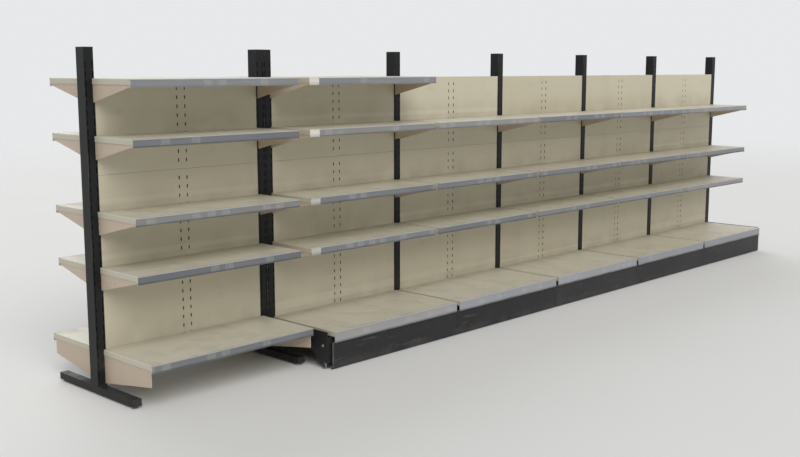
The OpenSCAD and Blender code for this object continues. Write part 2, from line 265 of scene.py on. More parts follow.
# %% Finish
def finish(material, colour, roughness, height, depth, metallic=0.0, **fixed):
    """Feeds a material's shader. The bump stands depth metres high where height is 1, and
    what is the same all over is named last."""
    inputs = {"Base Color": colour, "Roughness": roughness, "Metallic": metallic}
    bump = {"Height": height, "Distance": depth}
    inputs["Normal"] = height.node("ShaderNodeBump", inputs=bump)
    inputs.update({name.replace("_", " "): value for name, value in fixed.items()})
    feed(material.node_tree.nodes["Principled BSDF"], inputs)
    return material


def dress(material, *names):
    for name in names:
        mesh = nodes[name].data
        mesh.materials.clear()
        mesh.materials.append(material)
    print(material.name, "on", ", ".join(names))


print("helpers: finish, dress")

# %% [markdown]
# ## Bays, posts and fold highlights
# A mask often has to know its bay, its distance from a post, or where the sheet turns. The
# bay's number gives each tray or panel a tone of its own, which changes exactly where the
# piece ends. A fine paler line along each fold is a painted highlight, where a rounded bend
# would catch the light. The last function here finds it from the distances to the two faces
# that meet.

# %% Bays, posts and fold highlights
UNITS_MEET = RUN_POST - HALF_POST - 0.0001
# the width of the painted fold highlight
FOLD_HIGHLIGHT_WIDTH = 0.0019, 0.0004


def bay_of(x):
    """0 in the main run's first bay, and -1 in the end unit."""
    return ((x - RUN_POST) / BAY).floor().most(-1.0)


def from_post(x):
    """Metres from the middle of the nearest post, in either unit."""
    in_run = x.rise(UNITS_MEET - 0.0005, UNITS_MEET + 0.0005)
    along = (x - (FIRST_POST + in_run * (RUN_POST - FIRST_POST))) % BAY
    return along.least(BAY - along)


def fold_highlight(place, one_face, other_face):
    """A painted highlight: 1 along the line where two faces meet, a little broken up."""
    line = one_face.rise(*FOLD_HIGHLIGHT_WIDTH) * other_face.rise(*FOLD_HIGHLIGHT_WIDTH)
    return line * (0.5 + 0.5 * grain(place, 34.0, 4.0).rise(0.35, 0.60))


print("the units meet at x =", round(UNITS_MEET, 4))

# %% [markdown]
# ## Shelves and decks
# A shelf is one folded tray in cream powder coat. Dust lies along its back and between the
# footprints of what it carried, and loads that were pushed in left faint lines from front to
# back. Loads stand in rows and leave clean, nearly square patches. A cell texture that takes
# the larger of two distances has such straight sides, and a place that is pushed about frays
# them.

# %% Dust and slide marks
def footprints(place, seed):
    """1 on the patches that loads kept clean."""
    rows = {
        "Vector": frayed(place, 38.0, 0.016),
        "Location": (seed, seed * 0.37, 0),
        "Scale": (1, 0.7, 0.01),
    }
    rows = place.node("ShaderNodeMapping", inputs=rows)
    cells = {"Vector": rows, "Scale": 8.5, "Randomness": 0.75}
    square = {"distance": "CHEBYCHEV"}
    patch = place.node("ShaderNodeTexVoronoi", square, cells, output="Color")
    return patch.red().rise(0.3, 0.7)


def dust_on(place, up, back, seed):
    """Dust on what faces up, thickest at the back."""
    speck = grain(place, 210.0, 2.0).rise(0.40, 0.66)
    loose = 0.42 * (1 - footprints(place, seed)) * grain(place, 9.0, 5.0).rise(0.3, 0.7)
    return up * (0.12 + loose + 0.62 * back) * (0.62 + 0.38 * speck)


def slides_on(place, up, back):
    """Faint lines from front to back, in some places and not at the back."""
    line = grain(place, 60.0, 3.0, stretch=(3.2, 0.10, 1)).rise(0.62, 0.72)
    return line * up * grain(place, 4.0).rise(0.45, 0.65) * (1 - back)


print("helpers: footprints, dust_on, slides_on")

# %% [markdown]
# Trays come from different batches and were moved about, so each has its own tone. The front
# edge is rubbed grey by sleeves and loads, and the underside is darker, partly dulled coat and
# partly painted shade. Where the main run's first rails start late, a short stretch of lip
# stays
# bare: a rail kept it pale for years. That bare lip is paler on shelves above `HIGH` than below
# it, and darker towards its bottom, more so on the lower shelves. Each fold carries a painted
# highlight. The bump is the orange peel of the coat over the slight waviness of thin folded
# sheet.

# %% Shelf finish
HIGH = 1.0
SHELF_LIP, DECK_LIP = 0.035, 0.052
TRAY_BACK = POST_FACE + 0.001
SHELF_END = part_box("base_decks_front")[0].x - RUN_POST
print("a tray ends", round(SHELF_END, 4), "m from the middle of a post")


def shelf_finish(name, top, depth, lip, seed):
    """The coat of all trays of one height on both sides of the run."""
    material, place = start(name)
    x, y, z = place.parts()
    across = abs(y)
    front = TRAY_BACK + depth
    tray = chance(bay_of(x) * 2.37 + y.sign() * 0.71 + seed)
    blotch = grain(place, 2.6, 4.0, shift=(seed, 0, 0))
    up = facing_up(place)
    back = across.rise(POST_FACE + 0.09, POST_FACE + 0.005)
    dust = dust_on(place, up, back, seed)
    slides = slides_on(place, up, back)
    edge = across.rise(front - 0.022, front - 0.001) * z.rise(top - 0.012, top - 0.003)
    rub = edge * grain(place, 16.0, 6.0, stretch=(0.45, 0.5, 0.5), rough=0.7).rise(0.42, 0.66)
    # the underside: dulled coat and painted shade
    under = z.rise(top - 0.002, top - 0.006) * across.rise(front - 0.002, front - 0.006)
    # painted highlight along the fold between the top and the end flange
    painted_fold_highlight = fold_highlight(place, from_post(x) - SHELF_END, top - z)
    # The bare stretch of lip, paler above HIGH, and darker towards its bottom
    lip_colour = rgb(0.76, 0.755, 0.72) if top > HIGH else rgb(0.47, 0.47, 0.445)
    low_lip_darkness = 0.45 if top > HIGH else 0.70
    bare = across.rise(front - 0.0016, front - 0.0008)
    kept = bare * (0.70 + 0.30 * grain(place, 70.0, 4.0).rise(0.35, 0.60))
    lip_darker_low = bare * z.rise(top - lip * 0.45, top - lip * 0.95)
    colour = layered(
        tint(rgb(0.600, 0.560, 0.440), rgb(0.660, 0.630, 0.520), tray * 0.65 + blotch * 0.5),
        (rgb(0.31, 0.28, 0.225), dust * 0.66),
        (rgb(0.76, 0.74, 0.67), slides * 0.45),
        # dulled coat and painted shade on the underside
        (rgb(0.40, 0.365, 0.30), under * 0.35),
        (lip_colour, kept * 0.85),
        # darker towards the bottom of the bare lip, more on the lower shelves
        (rgb(0.26, 0.235, 0.19), lip_darker_low * low_lip_darkness),
        (rgb(0.20, 0.19, 0.17), rub * 0.50),
        # painted highlight along the folds
        (rgb(0.78, 0.755, 0.66), painted_fold_highlight * 0.75),
    )
    rough = 0.36 + 0.30 * dust + 0.10 * rub - 0.08 * slides + 0.06 * blotch - 0.10 * painted_fold_highlight
    peel = grain(place, 620.0, 1.0)
    wave = grain(place, 3.2, 1.0, stretch=(1, 2.2, 1))
    return finish(material, colour, rough, peel * 0.05 + wave * 4.0 - slides * 0.3, 0.0006)


# %% [markdown]
# Each height gets a material of its own, because its top and front lie elsewhere. The end
# unit's lowest shelf is deeper than the others, and the decks are the deepest.

# %% Coats for all trays
SHELF, LOWEST, PLINTH = 0.290, 0.370, 0.445
for level in PAIRED:
    coat = shelf_finish(f"shelf_coat_{level}", LEVELS[level], SHELF, SHELF_LIP, 1.7 * level)
    dress(coat, f"shelves_level_{level}_front", f"shelves_level_{level}_back")
dress(shelf_finish("shelf_coat_1", LEVELS[1], LOWEST, SHELF_LIP, 0.9), "shelves_level_1")
deck_coat = shelf_finish("deck_coat", DECK, PLINTH, DECK_LIP, 13.1)
dress(deck_coat, "base_decks_front", "base_decks_back")

# %% [markdown]
# ## Back panels and their cover strips
# The panels are the same cream, but they stand upright: little dust holds on them. What shows
# is a brown bloom just above each shelf where loads were pushed against them, broad pale-brown
# runs, soft smudges, a cleaner band where a shelf's back flange once kept the coat covered, and
# the oil-can waves of a wide thin sheet. Marks stay soft and wide, because a thin dark line on
# a panel would read as a crack. Each panel's own tone comes from its bay and its row, and its
# folded rim has the same painted highlight as a shelf's. The inside of the pans, which shows
# only through the slots, is painted near-black: painted shade for the dark space behind the
# slots, though the real inside is cream.

# %% Panel finish
PANEL_FOOT, PANEL_STEP, PANEL_TALL = 0.155, 0.4, 0.399
PANEL_FACE = POST_FACE - 0.003
PANEL_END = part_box("back_panels_front")[0].x - RUN_POST


def panel_finish(name, levels, seed):
    """The coat of all panels, with marks over the given levels."""
    material, place = start(name)
    x, y, z = place.parts()
    upright = (z - PANEL_FOOT) % PANEL_STEP
    row = ((z - PANEL_FOOT) / PANEL_STEP).floor()
    pan = chance(bay_of(x) * 3.31 + row * 1.13 + y.sign() * 0.57 + seed)
    blotch = grain(place, 1.8, 4.0, stretch=(1, 1, 1.6))
    run_down = grain(place, 7.0, 3.0, stretch=(1, 1, 0.12)).rise(0.45, 0.85)
    smudge = grain(place, 13.0, 3.0, stretch=(0.5, 1, 1.2), shift=(0.3, 0, 0.7))
    smudge = smudge.rise(0.58, 0.78)
    above = [z.rise(top + 0.13, top + 0.005) * z.rise(top - 0.01, top) for top in levels]
    bloom = functools.reduce(Wire.most, above) * grain(place, 6.0, 5.0).rise(0.25, 0.70)
    flanges = [z.band(top + 0.040, 0.016) for top in levels]
    moved = chance(bay_of(x) * 2.9 + (z * 9.0).floor() + seed).rise(0.35, 0.65)
    ghost = functools.reduce(Wire.most, flanges) * moved
    rim = (from_post(x) - PANEL_END).least(upright).least(PANEL_TALL - upright)
    colour = layered(
        tint(rgb(0.552, 0.504, 0.375), rgb(0.620, 0.575, 0.446), pan * 0.7 + blotch * 0.5),
        (rgb(0.36, 0.315, 0.235), bloom * 0.40 + run_down * 0.16),
        (rgb(0.70, 0.675, 0.56), ghost * 0.30),
        (rgb(0.38, 0.35, 0.28), smudge * 0.20),
        # painted highlight along the panel's folded rim
        (rgb(0.72, 0.685, 0.56), fold_highlight(place, rim, PANEL_FACE - abs(y)) * 0.5),
        # painted shade: the inside of the pans, seen through the slots, is near-black
        (rgb(0.030, 0.028, 0.025), abs(y).rise(PANEL_FACE - 0.0004, PANEL_FACE - 0.0010)),
    )
    rough = 0.40 + 0.16 * bloom + 0.07 * blotch + 0.06 * smudge - 0.05 * ghost
    peel = grain(place, 620.0, 1.0)
    wave = grain(place, 2.1, 1.0, stretch=(1, 1, 1.5), shift=(1.3, 0, 0))
    return finish(material, colour, rough, peel * 0.04 + wave * 6.0, 0.0006)


heights = [LEVELS[n] for n in (1, *PAIRED)] + [DECK]
panel_coat = panel_finish("panel_coat", heights, 5.3)
dress(panel_coat, "back_panels_end_unit", "back_panels_front", "back_panels_back")

# %% [markdown]
# The cover strips close the top between the panels. Nobody wipes them, so they are dusty.

# %% Cover finish
material, place = start("cover_coat")
thick = facing_up(place) * (0.35 + 0.5 * grain(place, 11.0, 5.0).rise(0.3, 0.7))
own = chance(bay_of(place.parts()[0]) * 1.9)
cream = tint(rgb(0.56, 0.53, 0.42), rgb(0.62, 0.60, 0.50), own)
colour = tint(cream, rgb(0.30, 0.285, 0.25), thick * 0.7)
cover_coat = finish(material, colour, 0.42 + 0.35 * thick, grain(place, 500.0), 0.0001)
dress(cover_coat, "top_covers")

# %% [markdown]
# ## Posts
# Posts are black powder coat, half matt. Brackets were hooked in and out for years, so short
# bright scratches surround the slots, and dust clings to the lower half metre. The corners are
# paler, partly polished by hands and partly a painted highlight along the edge. A slot column
# lies 16 mm to each side of a post's middle.

# %% Post finish
SLOTS = 0.016


def post_finish(name, first):
    """The coat of the posts that stand one bay apart from the first one on."""
    material, place = start(name)
    x, y, z = place.parts()
    off = abs((x - first + BAY / 2) % BAY - BAY / 2)
    across = abs(y)
    hooked = grain(place, 300.0, 3.0, stretch=(1, 0.4, 0.18)).rise(0.60, 0.72)
    scratch = off.band(SLOTS, 0.0075) * hooked * grain(place, 7.0).rise(0.40, 0.62)
    scratch = scratch * across.rise(POST_FACE - 0.0008, POST_FACE - 0.0001)
    corner = off.rise(HALF_POST - 0.0020, HALF_POST - 0.0003)
    corner = corner * across.rise(POST_FACE - 0.0025, POST_FACE - 0.0003)
    # paler corners: wear and a painted highlight along the edge
    corner_wear_and_highlight = corner * grain(place, 24.0, 5.0, stretch=(1, 1, 0.35)).rise(0.50, 0.68)
    smear = grain(place, 5.0, 4.0, stretch=(1, 1, 0.4))
    dusty = z.rise(0.45, 0.03) * grain(place, 14.0, 4.0).rise(0.35, 0.75)
    colour = layered(
        tint(rgb(0.0075, 0.0078, 0.0085), rgb(0.014, 0.0145, 0.016), smear),
        (rgb(0.085, 0.078, 0.068), dusty * 0.35),
        # scratches, and paler corners of wear and painted highlight
        (rgb(0.12, 0.12, 0.12), scratch * 0.50 + corner_wear_and_highlight * 0.60),
    )
    rough = 0.36 + 0.16 * smear + 0.22 * dusty
    height = grain(place, 700.0, 1.0) * 0.2 - scratch * 0.5
    return finish(material, colour, rough, height, 0.00012, Specular_IOR_Level=0.22)


end_post_coat = post_finish("end_post_coat", FIRST_POST)
dress(end_post_coat, "end_unit_posts", "end_unit_feet")
dress(post_finish("run_post_coat", RUN_POST), "run_posts")

# %% [markdown]
# ## Post caps
# A cap is moulded black plastic with a fine sparked texture, greyed on top by dust.

# %% Cap finish
material, place = start("cap_plastic")
spark = grain(place, 900.0, 2.0)
greyed = facing_up(place) * grain(place, 60.0, 4.0).rise(0.25, 0.75)
colour = tint(rgb(0.020, 0.020, 0.020), rgb(0.16, 0.15, 0.14), greyed * 0.55)
cap_plastic = finish(material, colour, 0.52 + 0.25 * greyed, spark, 0.00012)
dress(cap_plastic, "post_caps")

# %% [markdown]
# ## Brackets
# The brackets are a warmer, pinker beige than the shelves. Their plates are handled when a
# shelf is moved, so they carry thumb smears, short scratches across the taper and a darker
# rubbed line under the shelf that lies on them. Two neighbouring plates stand further apart
# than a cell is wide, of which there are 43 to the metre, so each has its own tone.

# %% Bracket finish
PLATE_CELLS = 43.0


def bracket_finish(name, top, seed):
    """The coat of all brackets under the shelves of one height."""
    material, place = start(name)
    x, y, z = place.parts()
    plate = chance((x * PLATE_CELLS).floor() * 0.37 + y.sign() * 0.61 + seed)
    smear = grain(place, 12.0, 4.0, shift=(0, seed, 0)).rise(0.35, 0.75)
    nick = grain(place, 190.0, 2.0, stretch=(1, 0.16, 0.8), shift=(0, seed, 0)).rise(0.66, 0.74)
    contact = z.rise(top - 0.010, top - 0.002)
    hooks = abs(y).rise(POST_FACE + 0.020, POST_FACE + 0.002)
    hooks = hooks * grain(place, 90.0, 3.0).rise(0.40, 0.65)
    colour = layered(
        tint(rgb(0.560, 0.452, 0.345), rgb(0.650, 0.545, 0.432), plate * 0.6 + smear * 0.4),
        (rgb(0.30, 0.24, 0.18), contact * 0.35 + smear * 0.14),
        (rgb(0.24, 0.23, 0.22), nick * 0.35 + hooks * 0.35),
    )
    rough = 0.38 + 0.18 * smear
    return finish(material, colour, rough, grain(place, 620.0, 1.0) - nick, 0.0001)


dress(bracket_finish("bracket_coat_1", LEVELS[1], 0.4), "brackets_level_1")
for level in PAIRED:
    coat = bracket_finish(f"bracket_coat_{level}", LEVELS[level], 1.3 * level)
    dress(coat, f"brackets_level_{level}_front", f"brackets_level_{level}_back")

# %% [markdown]
# ## Ticket rails
# A ticket rail is an extruded strip of grey plastic, clipped over the lip and as tall as the
# lip. Shelf tops lie on the slots' pitch, so the height inside a shelf's rail is what is left
# over after whole pitches, and `SPARE` keeps the step of that remainder just above the rail.
# The decks' rails are taller, and are told from the others by how far out they are.

# %% Heights inside a rail
SPARE = 0.0005
DECK_FRONT = TRAY_BACK + PLINTH


def in_rail(across, z):
    """Whether a rail is a deck's, its height, and the height of a place in it."""
    on_deck = across.rise(DECK_FRONT - 0.014, DECK_FRONT - 0.010)
    on_shelf = (z - SPARE) % PITCH - (PITCH - SHELF_LIP - SPARE)
    height = on_shelf * (1 - on_deck) + (z - (DECK - DECK_LIP)) * on_deck
    return on_deck, SHELF_LIP + (DECK_LIP - SHELF_LIP) * on_deck, height


print("rails", SHELF_LIP, "m tall on shelves and", DECK_LIP, "m on decks")

# %% [markdown]
# Here and there, old glue has left a pale rectangle of 44 by 24 mm. The strip is divided into
# seats of 76 mm, and chance picks about three in ten of them.

# %% Glue marks
SEAT = 0.076


def glue_marks(place, x, strip, tall, height):
    """1 on what is left of the glue."""
    seat = (x + strip * 0.05) / SEAT
    glued = chance(seat.floor() * 0.73 + strip * 57.0).rise(0.70, 0.72)
    glued = glued * abs(seat % 1.0 - 0.5).rise(0.296, 0.284)
    glue = glued * abs(height - tall * 0.5).rise(0.0125, 0.0118)
    return glue * (0.4 + 0.6 * grain(place, 75.0, 4.0).rise(0.30, 0.62))


print("glue marks in seats of", SEAT, "m")

# %% [markdown]
# A rail's upper rim carries a painted highlight of the light from above, and its sunken middle
# is a cool grey. Along the lower rim one dark line is painted, partly dirt and partly painted
# shade under the rim. The highest rails are paler, with a stronger highlight and a fainter
# lower line. No rail crosses a border between storeys of 120 mm, so bay, storey and side
# together give each strip its own tone. A few strips have yellowed.

# %% Rail finish
STOREY = 0.12


def rail_finish(name):
    """The plastic of all rails."""
    material, place = start(name)
    x, y, z = place.parts()
    on_deck, tall, height = in_rail(abs(y), z)
    strip = chance(bay_of(x) * 1.31 + (z / STOREY).floor() * 0.77 + y.sign())
    high = z.rise(HIGH, HIGH + 0.3)
    # painted highlight along the upper rim
    top_rim_highlight = (tall - height).rise(0.0052, 0.0036)
    # painted shade along the lower rim, and above it dirt and painted shade
    low_rim_and_shade = height.rise(0.0052, 0.0036)
    dirt_and_shade = height.rise(0.0120, 0.0035) * (0.45 + 0.55 * grain(place, 8.0, 5.0).rise(0.3, 0.7))
    dirt_and_shade = dirt_and_shade * (1 - 0.75 * high)
    wipe = grain(place, 26.0, 4.0, stretch=(0.12, 1, 1)).rise(0.42, 0.68)
    nick = grain(place, 240.0, 2.0, stretch=(0.35, 1, 1)).rise(0.69, 0.75)
    glue = glue_marks(place, x, strip, tall, height)
    tone = strip * 0.6 + wipe * 0.2 + high * high * 0.5
    shelf_grey = tint(rgb(0.130, 0.136, 0.148), rgb(0.270, 0.277, 0.290), tone)
    tone = strip * 0.7 + wipe * 0.3
    deck_grey = tint(rgb(0.270, 0.275, 0.300), rgb(0.355, 0.360, 0.385), tone)
    colour = layered(
        tint(shelf_grey, deck_grey, on_deck),
        (rgb(0.47, 0.45, 0.39), chance(strip * 91.0).rise(0.80, 0.95) * 0.30),
        (rgb(0.50, 0.49, 0.455), glue * 0.25),
        # painted highlight on the upper rim, stronger on the highest rails
        (rgb(0.66, 0.665, 0.68), top_rim_highlight * (0.52 + 0.13 * high)),
        # dark lower line: dirt and painted shade
        (rgb(0.075, 0.072, 0.084), dirt_and_shade * 0.50 + low_rim_and_shade * (0.30 - 0.20 * high)),
        (rgb(0.20, 0.20, 0.22), nick * 0.4),
    )
    rough = 0.30 + 0.16 * wipe + 0.25 * dirt_and_shade + 0.18 * glue
    waves = grain(place, 20.0, 2.0, stretch=(0.3, 1, 1)) * 0.6 + nick * -0.2
    return finish(material, colour, rough, waves, 0.0004, IOR=1.49)


dress(rail_finish("rail_plastic"), "ticket_rails_front", "ticket_rails_back")

# %% [markdown]
# ## Kick plates and base legs
# The plinth is charcoal. Wet cleaning leaves a pale tide line near the floor, kicks leave
# slanted scuffs at ankle height, and the thin plates are slightly dented. At the two ends of
# the main run, the upright corner stands free and is paler: partly rubbed, partly a painted
# highlight along the edge.

# %% Kick finish
HALF_RUN = BAY * BAYS / 2


def kick_finish(name, seed):
    """The coat of the kick plates and the legs behind them."""
    material, place = start(name)
    x, y, z = place.parts()
    own = chance(bay_of(x) * 2.3 + y.sign() * 0.43 + seed)
    cloud = grain(place, 4.0, 5.0)
    tide = z.rise(0.055, 0.012) * grain(place, 12.0, 5.0, stretch=(1, 1, 0.5)).rise(0.30, 0.62)
    slant = {"Vector": place, "Rotation": (0, 0.32, 0), "Scale": (0.30, 1, 2.4)}
    slant = place.node("ShaderNodeMapping", inputs=slant)
    shoe = grain(slant, 24.0, 4.0, rough=0.6).rise(0.58, 0.70) * z.band(0.075, 0.075)
    shoe = shoe * grain(place, 2.6, 2.0).rise(0.42, 0.60)
    scratch = grain(slant, 90.0, 2.0).rise(0.64, 0.76) * z.band(0.07, 0.08)
    # the free corner at each end: rub and painted highlight
    free_corner_rub_and_highlight = abs(x - (RUN_POST + HALF_RUN)).rise(HALF_RUN - 0.016, HALF_RUN - 0.004)
    free_corner_rub_and_highlight = free_corner_rub_and_highlight * abs(y).rise(DECK_FRONT - 0.016, DECK_FRONT - 0.010)
    rub = free_corner_rub_and_highlight * (0.4 + 0.6 * grain(place, 30.0, 4.0).rise(0.35, 0.65))
    colour = layered(
        tint(rgb(0.0165, 0.0162, 0.018), rgb(0.030, 0.0295, 0.032), own * 0.6 + cloud * 0.5),
        (rgb(0.15, 0.132, 0.112), tide * 0.20 + cloud.rise(0.5, 0.8) * 0.08),
        # paler free corner: rub and painted highlight
        (rgb(0.120, 0.125, 0.120), rub * 0.75),
        (rgb(0.105, 0.100, 0.095), shoe * 0.55),
        (rgb(0.13, 0.125, 0.12), scratch * 0.35),
    )
    rough = 0.42 + 0.22 * tide + 0.12 * shoe
    dents = grain(place, 3.4, 1.0, stretch=(1, 1, 1.4), shift=(seed, 0, 0)) * 7.0
    peel = grain(place, 620.0, 1.0) * 0.05
    return finish(material, colour, rough, dents + peel, 0.0006, Specular_IOR_Level=0.22)


kick_coat = kick_finish("kick_coat", 3.7)
dress(kick_coat, "kick_plates_front", "kick_plates_back", "base_legs_front", "base_legs_back")

# %% [markdown]
# ## Zinc on the feet and tie rails
# The levelling feet are zinc-plated and have dulled, with grime where they meet the floor; the
# tie rails are galvanised, with the broad crystal flakes of hot-dipped sheet. Both are metal,
# so their colour is in the reflection.

# %% Zinc finish
material, place = start("foot_zinc")
dull = grain(place, 130.0, 5.0)
grime = place.parts()[2].rise(0.012, 0.002) * grain(place, 50.0, 4.0).rise(0.3, 0.6)
colour = tint(rgb(0.34, 0.34, 0.33), rgb(0.52, 0.52, 0.50), dull)
colour = tint(colour, rgb(0.10, 0.09, 0.08), grime * 0.7)
foot_zinc = finish(material, colour, 0.38 + 0.3 * dull, dull, 0.0001, 1 - 0.6 * grime)
dress(foot_zinc, "levelling_feet")

material, place = start("tie_zinc")
flakes = {"Vector": place, "Scale": 70.0}
flake = place.node("ShaderNodeTexVoronoi", inputs=flakes, output="Color").red()
colour = tint(rgb(0.40, 0.41, 0.42), rgb(0.58, 0.59, 0.60), flake)
tie_zinc = finish(material, colour, 0.36 + 0.22 * flake, grain(place, 80.0), 0.0001, 0.9)
dress(tie_zinc, "tie_rails")

# %% [markdown]
# ## Tools for modelling by hand
# Small pieces are modelled as one would in Blender's window: a primitive is added, edit mode
# is opened with nothing selected, faces or edges are picked by where they are, and an operator
# shapes what is picked. `pick` takes a test, which sees the middle and the normal of a face,
# or the two ends of an edge.

# %% Adding and picking
NEAR = 1e-5


def begin(add, **settings):
    """Adds a primitive, applies its place and turn, and opens it with nothing selected."""
    bpy.ops.object.select_all(action="DESELECT")
    add(**settings)
    bpy.ops.object.transform_apply(location=True, rotation=True, scale=True)
    bpy.ops.object.mode_set(mode="EDIT")
    bpy.ops.mesh.select_all(action="DESELECT")
    return bpy.context.object


def pick(piece, faces=None, edges=None):
    """Picks the faces or edges that pass a test, and nothing else."""
    bpy.ops.mesh.select_mode(type="FACE" if faces else "EDGE")
    bpy.ops.mesh.select_all(action="DESELECT")
    shape = bmesh.from_edit_mesh(piece.data)
    if faces:
        for face in shape.faces:
            face.select_set(bool(faces(face.calc_center_median(), face.normal)))
    else:
        for edge in shape.edges:
            edge.select_set(bool(edges(edge.verts[0].co, edge.verts[1].co)))
    bmesh.update_edit_mesh(piece.data)


def end():
    bpy.ops.object.mode_set(mode="OBJECT")


print("helpers: begin, pick, end")

# %% [markdown]
# What repeats is modelled once. Each copy gets its own mesh, is turned and moved to its place,
# and the row of copies is joined into one piece at the origin, so that Object coordinates are
# still the run's own metres. Last, the piece is tied to the frame's body and given its coat.

# %% Copies in a row
def join_up(parts):
    """Applies the places of some parts and joins them into one, at the origin."""
    bpy.ops.object.select_all(action="DESELECT")
    for part in parts:
        part.select_set(True)
    bpy.context.view_layer.objects.active = parts[-1]
    bpy.ops.object.transform_apply(location=True, rotation=True, scale=True)
    bpy.ops.object.join()
    return bpy.context.object


def set_out(name, model, places, coat):
    """Copies a model to (location, turn) places as one piece that rides on the frame."""
    copies = []
    for location, turned in places:
        copy = bpy.data.objects.new(name, model.data.copy())
        bpy.context.scene.collection.objects.link(copy)
        copy.location, copy.rotation_euler = location, turned
        copies.append(copy)
    bpy.data.objects.remove(model)
    piece = join_up(copies)
    piece.name = piece.data.name = name
    piece.data.materials.clear()
    piece.data.materials.append(coat)
    bpy.ops.object.shade_smooth_by_angle(angle=math.radians(35))
    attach(piece, "root")
    print(name, "from", len(places), "copies,", len(piece.data.polygons), "faces")


print("helpers: join_up, set_out")

# %% [markdown]
# ## Nuts on the levelling feet
# A levelling foot is a threaded stem with a pad; a nut locks it against the post or the base
# leg above. The nut starts as a six-sided cylinder, whose radius goes to its corners, though
# nuts are sized across their flats: `FLAT` is the ratio of the two. Its rims are bevelled, its
# two ends are inset, which leaves the outline of the bore, and bridging the two small faces
# drills it through.

# %% Levelling nuts
FLAT = math.cos(math.radians(30))
NUT_HALF, NUT_TALL, NUT_Z = 0.0085, 0.008, 0.0258
STEM_ROWS = (-0.425, 0.0, 0.425)
hexagon = {"vertices": 6, "radius": NUT_HALF / FLAT, "depth": NUT_TALL}
nut = begin(bpy.ops.mesh.primitive_cylinder_add, **hexagon)
pick(nut, edges=lambda a, b: abs(a.z - b.z) < NEAR)
bpy.ops.mesh.bevel(offset=0.0009, segments=1, affect="EDGES")
pick(nut, faces=lambda middle, normal: abs(normal.z) > 0.99)
bpy.ops.mesh.inset(thickness=0.0022)
pick(nut, faces=lambda middle, normal: abs(normal.z) > 0.99 and middle.xy.length < NEAR)
bpy.ops.mesh.bridge_edge_loops()
end()

turned = (0, 0, math.radians(17))
nut_places = [((x, y, NUT_Z), turned) for x in run_posts for y in STEM_ROWS]
set_out("levelling_nuts", nut, nut_places, foot_zinc)

# %% [markdown]
# ## Bolts in the base legs
# Each leg is bolted through its sides, twice beside the post and once at the toe. A bolt is a
# washer, made from a short round cylinder, and a hexagon head, which sits a hair deep in it.
# The head's top is inset and sunk a little, as forged heads are. The two are joined and laid
# along X, the way that the bolts point, so that each copy can be turned a little further round
# its own axis.

# %% Washer and head
WASHER_R, WASHER_T = 0.0068, 0.0014
HEAD_HALF, HEAD_T = 0.005, 0.0036
disc = {"vertices": 24, "radius": WASHER_R, "depth": WASHER_T}
washer = begin(bpy.ops.mesh.primitive_cylinder_add, **disc)
pick(washer, edges=lambda a, b: a.z > 0 and b.z > 0)
bpy.ops.mesh.bevel(offset=0.0004, segments=2, affect="EDGES")
end()
washer.location.z = WASHER_T / 2

head_z = WASHER_T + HEAD_T / 2 - 0.0001
hexagon = {"vertices": 6, "radius": HEAD_HALF / FLAT, "depth": HEAD_T}
head = begin(bpy.ops.mesh.primitive_cylinder_add, location=(0, 0, head_z), **hexagon)
pick(head, edges=lambda a, b: a.z > head_z and b.z > head_z)
bpy.ops.mesh.bevel(offset=0.0007, segments=2, affect="EDGES")
pick(head, faces=lambda middle, normal: normal.z > 0.99)
bpy.ops.mesh.inset(thickness=0.0011)
bpy.ops.transform.translate(value=(0, 0, -0.0005))
end()

bolt = join_up([head, washer])
bolt.rotation_euler.y = math.pi / 2
bpy.ops.object.transform_apply(location=True, rotation=True, scale=True)
print("one bolt,", len(bolt.data.polygons), "faces")

# %% [markdown]
# The three holes repeat in front of the post and behind it, and each has a head on both sides
# of the leg. Bolts stop at any angle when they are tightened, so the heads are turned a little
# further from hole to hole and from leg to leg.

# %% Leg bolts
LEG_SIDE = 0.0175
HOLES = ((0.055, 0.100), (0.055, 0.142), (0.425, 0.112))
bolt_places = []
for number, x in enumerate(run_posts):
    for side in (-1, 1):
        for half in (-1, 1):
            for hole, (y, z) in enumerate(HOLES):
                place = (x + side * LEG_SIDE, half * y, z)
                turned = (0.4 * hole + 0.9 * number + half, 0, 0 if side > 0 else math.pi)
                bolt_places.append((place, turned))
set_out("leg_bolts", bolt, bolt_places, foot_zinc)

# %% [markdown]
# ## Plugs in the foot beams
# The end unit stands on two rectangular tubes, closed by plastic plugs. A plug is a flange as
# large as the tube's outside, with a slightly sunken face, and a body that grips inside the
# tube. A cube gives the flange; its inner face is inset by the tube's wall and pulled out into
# the body, the outer rim is rounded, and the outer face is inset twice and pushed in.

# %% Beam plugs
BEAM_W, BEAM_H, BEAM_LOW, BEAM_END = 0.040, 0.030, 0.010, 0.300
PLUG_T, GRIP, BEAM_WALL = 0.003, 0.010, 0.0024
plug = begin(bpy.ops.mesh.primitive_cube_add, size=1, scale=(BEAM_W, PLUG_T, BEAM_H))
pick(plug, faces=lambda middle, normal: normal.y > 0.9)
bpy.ops.mesh.inset(thickness=BEAM_WALL)
bpy.ops.mesh.extrude_region_move(TRANSFORM_OT_translate={"value": (0, GRIP, 0)})
bpy.ops.transform.resize(value=(0.94, 1, 0.92), center_override=(0, 0, 0))
pick(plug, edges=lambda a, b: max(a.y, b.y) < -PLUG_T / 2 + NEAR)
bpy.ops.mesh.bevel(offset=0.0011, segments=3, affect="EDGES")
pick(plug, faces=lambda middle, normal: normal.y < -0.99)
bpy.ops.mesh.inset(thickness=0.004)
bpy.ops.mesh.inset(thickness=0.0008)
bpy.ops.transform.translate(value=(0, 0.0007, 0))
end()

middle_z = BEAM_LOW + BEAM_H / 2
out = BEAM_END + PLUG_T / 2
plug_places = [((x, -out, middle_z), (0, 0, 0)) for x in end_posts]
plug_places += [((x, out, middle_z), (0, 0, math.pi)) for x in end_posts]
set_out("beam_plugs", plug, plug_places, cap_plastic)

